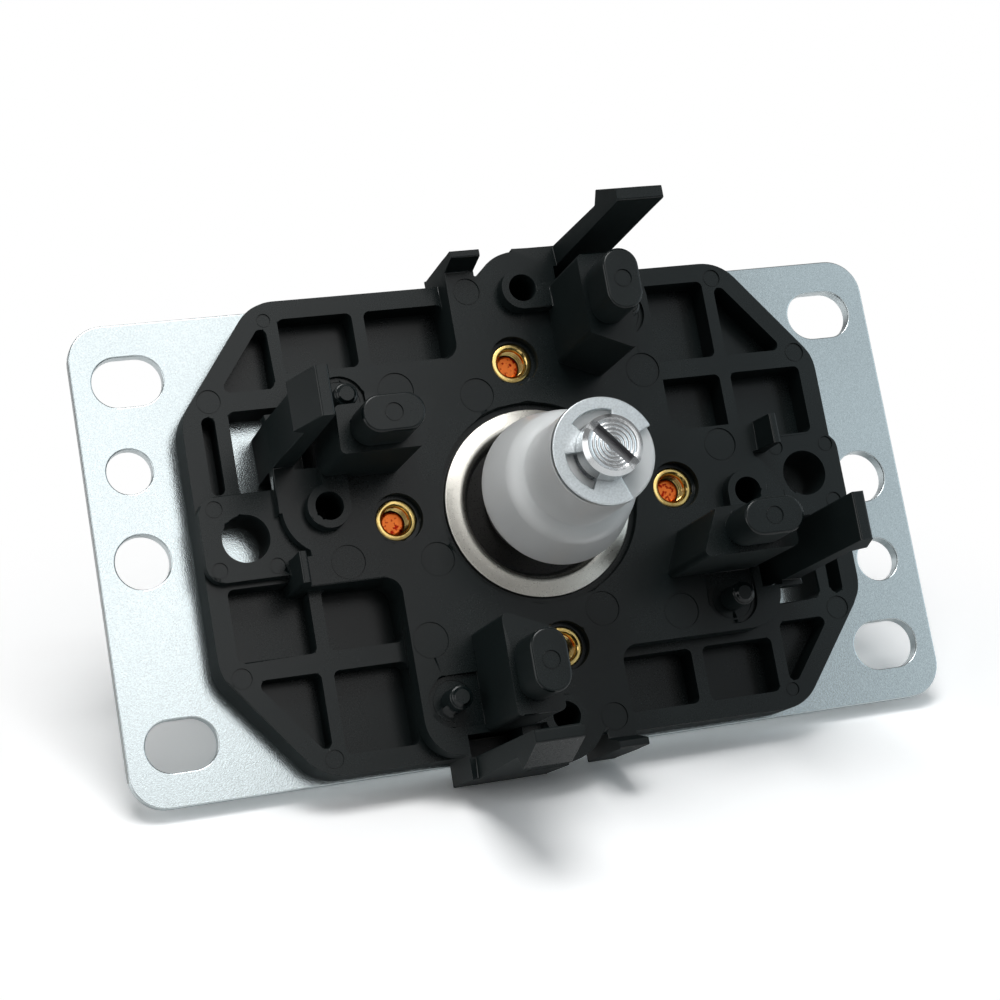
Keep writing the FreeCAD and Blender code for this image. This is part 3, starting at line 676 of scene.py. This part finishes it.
class LEVER_OT_housing(bpy.types.Operator):
    """Steps the locating pins, sinks the ejector marks and rounds the moulding's edges"""
    bl_idname = "lever.housing"
    bl_label = "Housing"

    def execute(self, context):
        sizes, colours = context.scene.lever_sizes, context.scene.lever_colours
        housing = copy_node("housing", "moulded_housing")
        marks = self.marks()
        cutters = [rod("mark", radius, face - MARK_CLEARANCE, face + sizes.mark_depth, x, y)
                   for x, y, radius, face in marks]
        for x, y in PINS:
            cutters += self.pin_cutters(sizes, x, y)
            marks += [(x, y, radius, hung(PIN_SEAT))
                      for radius in (sizes.pin, sizes.pin_ring, sizes.pin_ring + PIN_GROOVE)]
        cut_away(housing, join(cutters))
        insert_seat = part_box(INSERTS[0])[0].z + sizes.insert_flange
        for node in INSERTS:
            centre = middle(node)
            marks += [(centre.x, centre.y, radius, insert_seat)
                      for radius in (sizes.insert_body, across(INSERTS[0]))]
        self.round_moulding(housing, sizes.moulding_edge, marks)
        shade(housing)
        paint(housing, black_moulding(colours))
        settle(housing, "housing")
        return {"FINISHED"}

    def marks(self):
        """The place, radius and face of each mark. Both halves of the moulding have them."""
        groups = ((DECK_MARKS, DECK_TOP), (RIM_MARKS, RIM_TOP), (EAR_MARKS, EAR_TOP),
                  (POST_MARKS, POST_TOP))
        return [(side * x * MM, -side * y * MM, diameter / 2 * MM, hung(top))
                for places, top in groups for x, y, diameter in places for side in (1, -1)]

    def pin_cutters(self, sizes, x, y):
        """What is cut away round a locating pin: its tip's shoulder and a ring in the recess."""
        tip, seat = hung(PIN_TOP), hung(PIN_SEAT)
        inner, outer = sizes.pin_ring, sizes.pin_ring + PIN_GROOVE
        start, bottom = seat - CUT_PAST, seat + sizes.mark_depth
        step = turned("step", [(sizes.pin + out * MM, tip + up * MM) for out, up in PIN_STEP], 48)
        ring = turned("ring", [(inner, start), (outer, start), (outer, bottom), (inner, bottom)], 64)
        for cutter in (step, ring):
            slide(cutter, (x, y, 0))
        return [step, ring]

    def round_moulding(self, housing, width, marks):
        """Rounds the sharp edges but for the crisp ones of the marks, and keeps the solid's width."""

        def on_a_mark(corner):
            return any(abs(math.hypot(corner.x - x, corner.y - y) - radius) < MARK_CLEARANCE
                       and abs(corner.z - face) < 3 * MARK_CLEARANCE for x, y, radius, face in marks)

        pick(housing)
        bpy.ops.object.mode_set(mode="EDIT")
        bpy.ops.mesh.select_mode(type="EDGE")
        bpy.ops.mesh.select_all(action="DESELECT")
        bpy.ops.mesh.edges_select_sharp(sharpness=SHARP)
        bpy.ops.object.mode_set(mode="OBJECT")
        corners = housing.data.vertices
        for edge in housing.data.edges:
            if edge.select and all(on_a_mark(corners[index].co) for index in edge.vertices):
                edge.select = False
        bpy.ops.object.mode_set(mode="EDIT")
        bpy.ops.mesh.bevel(offset_type="ABSOLUTE", offset=width, segments=2, clamp_overlap=False)
        bpy.ops.mesh.select_mode(type="VERT")
        bpy.ops.object.mode_set(mode="OBJECT")
        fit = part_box("housing")[1].y / max(corner.co.y for corner in housing.data.vertices)
        bpy.ops.object.mode_set(mode="EDIT")
        bpy.ops.mesh.select_all(action="SELECT")
        bpy.ops.transform.resize(value=(fit, fit, 1), center_override=(0, 0, 0))
        bpy.ops.object.mode_set(mode="OBJECT")


class LEVER_OT_shaft(bpy.types.Operator):
    """Turns the shaft, cuts the knob's thread and slots the lower end"""
    bl_idname = "lever.shaft"
    bl_label = "Shaft"

    def execute(self, context):
        sizes, colours = context.scene.lever_sizes, context.scene.lever_colours
        low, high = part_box("shaft")
        thick = across("shaft")
        ball_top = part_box("pivot_ball")[1].z
        clip_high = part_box("retaining_clip")[1].z
        thin, thread = sizes.lower_radius, sizes.knob_thread_radius
        chamfer, run_out = 0.5 * MM, 0.8 * MM
        shoulder = high.z - sizes.knob_thread_length
        groove_bottom = clip_high - sizes.groove_width
        tip = [(thin, low.z + sizes.tip_chamfer), (thin - sizes.tip_chamfer, low.z)]
        ring, half_groove = thin - sizes.tip_chamfer - sizes.tip_ring, 0.30 * sizes.tip_ring
        while ring > sizes.tip_ring:
            tip += [(ring + half_groove, low.z), (ring, low.z + sizes.tip_ring_depth),
                    (ring - half_groove, low.z)]
            ring -= sizes.tip_ring
        outline = [(0, high.z), (thread - chamfer, high.z), (thread, high.z - chamfer),
                   (thread, shoulder), (thick - chamfer, shoulder), (thick, shoulder - chamfer),
                   (thick, ball_top), (thin, ball_top), (thin, clip_high),
                   (sizes.groove_radius, clip_high), (sizes.groove_radius, groove_bottom),
                   (thin, groove_bottom)] + tip + [(0, low.z)]
        shaft = turned("turned_shaft", outline)
        ridge = thread_ridge("ridge", thread - sizes.knob_thread_depth, thread + CUT_PAST,
                             sizes.knob_pitch, shoulder + run_out, high.z + sizes.knob_pitch)
        cut_away(shaft, ridge)
        deselect()
        bpy.ops.mesh.primitive_cube_add(size=1.0, location=(0, 0, low.z),
                                        rotation=(0, 0, sizes.slot_angle),
                                        scale=(4 * thin, sizes.slot_width, 2 * sizes.slot_depth))
        cutter = bpy.context.object
        bpy.ops.object.transform_apply()
        cut_away(shaft, cutter)
        shade(shaft, 30)
        slot_reach = sizes.groove_radius - 0.2 * MM
        paint(shaft, turned_steel(colours, low.z, sizes.slot_depth, slot_reach))
        settle(shaft, "shaft")
        return {"FINISHED"}


class LEVER_OT_pivot(bpy.types.Operator):
    """Smooths the ball and its socket"""
    bl_idname = "lever.pivot"
    bl_label = "Pivot"

    def execute(self, context):
        colours = context.scene.lever_colours
        finishes = {"pivot_ball": plain_plastic("black_acetal", colours.ball, 0.2),
                    "pivot_socket": plain_plastic("white_nylon", colours.socket, 0.35)}
        for node, finish in finishes.items():
            piece = copy_node(node, "smooth_" + node)
            round_edges(piece, context.scene.lever_sizes.fine_edge)
            shade(piece)
            paint(piece, finish)
            settle(piece, node)
        return {"FINISHED"}


class LEVER_OT_actuator(bpy.types.Operator):
    """Makes the bell that presses the switches"""
    bl_idname = "lever.actuator"
    bl_label = "Actuator"

    def execute(self, context):
        piece = copy_node("actuator", "bell_actuator")
        shade(piece, 40)
        paint(piece, milky(context.scene.lever_colours))
        settle(piece, "actuator")
        return {"FINISHED"}


class LEVER_OT_retainer(bpy.types.Operator):
    """Softens the stamped edges of the retaining clip"""
    bl_idname = "lever.retainer"
    bl_label = "Retaining clip"

    def execute(self, context):
        sizes, colours = context.scene.lever_sizes, context.scene.lever_colours
        piece = copy_node("retaining_clip", "stamped_retaining_clip")
        round_edges(piece, sizes.clip_edge, 3)
        shade(piece)
        paint(piece, zinc("zinc_clip", colours.clip, 0.22 * MM, 0.016 * MM, 0.30))
        settle(piece, "retaining_clip")
        return {"FINISHED"}


class LEVER_OT_spring(bpy.types.Operator):
    """Smooths the return spring's wire"""
    bl_idname = "lever.spring"
    bl_label = "Return spring"

    def execute(self, context):
        piece = copy_node("return_spring", "wound_return_spring")
        shade(piece, 40)
        paint(piece, wire_finish(context.scene.lever_colours))
        settle(piece, "return_spring")
        return {"FINISHED"}


class LEVER_OT_holder(bpy.types.Operator):
    """Presses the spring holder with its rolled rim and its bright sloping band"""
    bl_idname = "lever.holder"
    bl_label = "Spring holder"

    def execute(self, context):
        sizes = context.scene.lever_sizes
        low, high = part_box("spring_holder")
        rim, bead = across("spring_holder"), sizes.holder_bead
        crest = rim - sizes.holder_band
        foot = crest - 0.9 * MM
        seat, floor = low.z + sizes.holder_steel, high.z - sizes.holder_steel
        band = [(rim, low.z + 1.6 * bead), (rim - 0.3 * bead, low.z + 1.15 * bead),
                (rim - bead, low.z + bead), (crest + 1.2 * MM, low.z + 0.55 * bead),
                (crest + 0.5 * MM, low.z + 0.15 * bead), (crest + 0.15 * MM, low.z),
                (crest, low.z + 0.1 * bead), (crest - 0.25 * MM, low.z + bead)]
        bowl = [(foot, floor), (sizes.holder_hole, floor), (sizes.holder_hole, high.z), (foot, high.z),
                (foot + 0.6 * MM, high.z - 0.4 * MM), (crest + 0.4 * MM, seat), (rim, seat)]
        piece = turned("pressed_spring_holder", band + bowl)
        shade(piece)
        paint(piece, brushed_ring(context.scene.lever_colours, crest - 0.3 * MM))
        settle(piece, "spring_holder")
        return {"FINISHED"}


class LEVER_OT_inserts(bpy.types.Operator):
    """Threads and chamfers the four brass inserts"""
    bl_idname = "lever.inserts"
    bl_label = "Brass inserts"

    def execute(self, context):
        sizes, colours = context.scene.lever_sizes, context.scene.lever_colours
        low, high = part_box(INSERTS[0])
        bore, edge, flange = sizes.insert_bore, sizes.insert_edge, across(INSERTS[0])
        shoulder, lead_in = low.z + sizes.insert_flange, 0.6 * MM
        outline = [(bore, high.z), (bore, low.z + 2 * edge), (bore + 1.2 * edge, low.z + 0.3 * edge),
                   (bore + 1.6 * edge, low.z), (flange - edge, low.z),
                   (flange - 0.3 * edge, low.z + 0.3 * edge), (flange, low.z + edge),
                   (flange, shoulder), (sizes.insert_body, shoulder), (sizes.insert_body, high.z)]
        piece = turned("insert", outline, 64)
        ridge = thread_ridge("ridge", bore + sizes.screw_thread_depth, bore - CUT_PAST,
                             sizes.screw_pitch, low.z + lead_in, high.z - sizes.screw_pitch, 32)
        cut_away(piece, ridge)
        slide(piece, (middle(INSERTS[0]).x, middle(INSERTS[0]).y, 0))
        shade(piece)
        paint(piece, brass(colours))
        repeat(piece, "threaded_insert_", INSERTS)
        return {"FINISHED"}


class LEVER_OT_screws(bpy.types.Operator):
    """Shortens the four plate screws and cuts their threads"""
    bl_idname = "lever.screws"
    bl_label = "Plate screws"

    def execute(self, context):
        sizes, colours = context.scene.lever_sizes, context.scene.lever_colours
        low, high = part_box(SCREWS[0])
        clearance, lead_in, head = 0.02 * MM, 0.5 * MM, 2.2 * MM
        shank = sizes.insert_bore - clearance
        piece = copy_node(SCREWS[0], "threaded_screw")
        end = low.z + sizes.screw_gap
        self.shorten(piece, end)
        round_edges(piece, sizes.fine_edge)
        ridge = thread_ridge("ridge", shank - sizes.screw_thread_depth, shank + CUT_PAST,
                             sizes.screw_pitch, end + lead_in, high.z - head, 32)
        slide(ridge, (middle(SCREWS[0]).x, middle(SCREWS[0]).y, 0))
        cut_away(piece, ridge)
        shade(piece)
        paint(piece, screw_finish(colours, end))
        repeat(piece, "threaded_screw_", SCREWS)
        return {"FINISHED"}

    def shorten(self, screw, end):
        """Moves the screw's point up its shank."""
        low = min(corner.co.z for corner in screw.data.vertices)
        pick(screw)
        bpy.ops.object.mode_set(mode="EDIT")
        bpy.ops.mesh.select_all(action="DESELECT")
        bpy.ops.object.mode_set(mode="OBJECT")
        for corner in screw.data.vertices:
            corner.select = corner.co.z < low + MM
        bpy.ops.object.mode_set(mode="EDIT")
        bpy.ops.transform.translate(value=(0, 0, end - low))
        bpy.ops.object.mode_set(mode="OBJECT")


def lamp(name, direction, distance, size, watts, colour=(1, 1, 1)):
    """A square soft lamp that shines on the lever from a direction."""
    data = bpy.data.lights.new(name, "AREA")
    data.energy = watts
    data.size = size
    data.color = colour
    light = bpy.data.objects.new(name, data)
    bpy.context.scene.collection.objects.link(light)
    direction = Vector(direction).normalized()
    light.location = direction * distance
    light.rotation_mode = "QUATERNION"
    light.rotation_quaternion = direction.to_track_quat("Z", "Y")


class LEVER_OT_stage(bpy.types.Operator):
    """Lays the lever on a white floor with soft lamps and the photograph's camera"""
    bl_idname = "lever.stage"
    bl_label = "Stage"

    def execute(self, context):
        stage = context.scene.lever_stage
        self.lay_floor(stage)
        self.light_world(context.scene, stage)
        lamp("key", (-0.09, -0.70, -0.71), 0.55, 0.26, stage.key)
        lamp("front", (0.05, -0.36, -0.93), 0.60, 0.30, stage.front)
        lamp("low", (0.07, -0.04, -1.0), 0.60, 0.14, stage.low)
        lamp("right_side", (0.80, -0.10, -0.60), 0.60, 0.62, stage.side, BLUE_WHITE)
        lamp("right_window", (0.85, -0.10, -0.50), 0.60, 0.34, stage.window, BLUE_WHITE)
        lamp("fill", (-0.90, -0.10, -0.36), 0.60, 0.50, stage.fill)
        lamp("panel_side", (-0.5, 0.2, 1.0), 0.70, 0.50, stage.back)
        lamp("under_side", (0.3, 0.9, 0.35), 0.70, 0.50, 0.5 * stage.back)
        self.set_camera(context.scene, stage)
        return {"FINISHED"}

    def lay_floor(self, stage):
        """A pale floor that takes shadows, fades to white and doesn't show from below."""
        deselect()
        turn = FLOOR_UP.to_track_quat("Z", "Y").to_euler()
        bpy.ops.mesh.primitive_plane_add(size=4.0, location=-FLOOR_DEPTH * FLOOR_UP, rotation=turn)
        floor = bpy.context.object
        floor.name = "studio_floor"
        floor.visible_diffuse = False
        floor.visible_shadow = False
        f = Finish("white_floor")
        far = f.distance(f.place).ramp(stage.white_from, stage.white_at)
        camera_ray = f.node("LightPath", {}, {}, "Is Camera Ray")
        seen = [stage.floor_gain] * 3
        lit = f.node("BsdfDiffuse", {}, {"Color": f.mix(rgb(FLOOR_WHITE), rgb(seen), camera_ray)})
        white = f.node("Emission", {}, {"Color": (1, 1, 1, 1), "Strength": 1.0})
        ground = f.node("MixShader", {}, {0: far * camera_ray, 1: lit, 2: white})
        clear = f.node("BsdfTransparent", {}, {})
        behind = f.node("NewGeometry", {}, {}, "Backfacing")
        floor.data.materials.append(f.show(f.node("MixShader", {}, {0: behind, 1: ground, 2: clear})))

    def light_world(self, scene, stage):
        """Even white light, which gloss, glass and the camera each see at a strength of their own."""
        world = bpy.data.worlds.new("white_studio")
        scene.world = world
        world.use_nodes = True
        tree = world.node_tree
        background = tree.nodes["Background"]
        background.inputs["Color"].default_value = (1, 1, 1, 1)
        path = tree.nodes.new("ShaderNodeLightPath")
        strength = stage.world
        for ray, seen in (("Is Glossy Ray", stage.gloss), ("Is Transmission Ray", 1.0),
                          ("Is Camera Ray", 1.0)):
            choice = tree.nodes.new("ShaderNodeMix")
            tree.links.new(path.outputs[ray], choice.inputs["Factor"])
            if isinstance(strength, float):
                choice.inputs["A"].default_value = strength
            else:
                tree.links.new(strength, choice.inputs["A"])
            choice.inputs["B"].default_value = seen
            strength = choice.outputs["Result"]
        tree.links.new(strength, background.inputs["Strength"])

    def set_camera(self, scene, stage):
        """The photograph's camera and plain colours."""
        data = bpy.data.cameras.new("camera")
        data.lens = stage.lens
        data.clip_start = 0.01
        camera = bpy.data.objects.new("camera", data)
        scene.collection.objects.link(camera)
        back = CAMERA_RIGHT.cross(CAMERA_UP)
        turn = Matrix((CAMERA_RIGHT, CAMERA_UP, back)).transposed().to_4x4()
        camera.matrix_world = Matrix.Translation(CAMERA_PLACE) @ turn
        scene.camera = camera
        scene.view_settings.view_transform = "Standard"


class LEVER_PT_panel(bpy.types.Panel):
    """Lists the lever's pieces and the stage"""
    bl_idname = "LEVER_PT_panel"
    bl_label = "Joystick lever"
    bl_space_type = "VIEW_3D"
    bl_region_type = "UI"
    bl_category = "Lever"

    def draw(self, context):
        column = self.layout.column()
        for operator in OPERATORS:
            column.operator(operator.bl_idname)
        for group in (context.scene.lever_sizes, context.scene.lever_colours, context.scene.lever_stage):
            box = self.layout.box()
            for name in group.bl_rna.properties.keys():
                if name not in ("rna_type", "name"):
                    box.prop(group, name)


OPERATORS = (LEVER_OT_plate, LEVER_OT_housing, LEVER_OT_screws, LEVER_OT_inserts, LEVER_OT_pivot,
             LEVER_OT_shaft, LEVER_OT_holder, LEVER_OT_spring, LEVER_OT_actuator,
             LEVER_OT_retainer, LEVER_OT_stage)
CLASSES = (LeverSizes, LeverColours, LeverStage, *OPERATORS, LEVER_PT_panel)


def register():
    for cls in CLASSES:
        bpy.utils.register_class(cls)
    bpy.types.Scene.lever_sizes = bpy.props.PointerProperty(type=LeverSizes)
    bpy.types.Scene.lever_colours = bpy.props.PointerProperty(type=LeverColours)
    bpy.types.Scene.lever_stage = bpy.props.PointerProperty(type=LeverStage)


def unregister():
    del bpy.types.Scene.lever_stage
    del bpy.types.Scene.lever_colours
    del bpy.types.Scene.lever_sizes
    for cls in reversed(CLASSES):
        bpy.utils.unregister_class(cls)


def main():
    register()
    deselect()
    for operator in OPERATORS:
        group, name = operator.bl_idname.split(".")
        getattr(getattr(bpy.ops, group), name)()


if __name__ == "__main__":
    main()
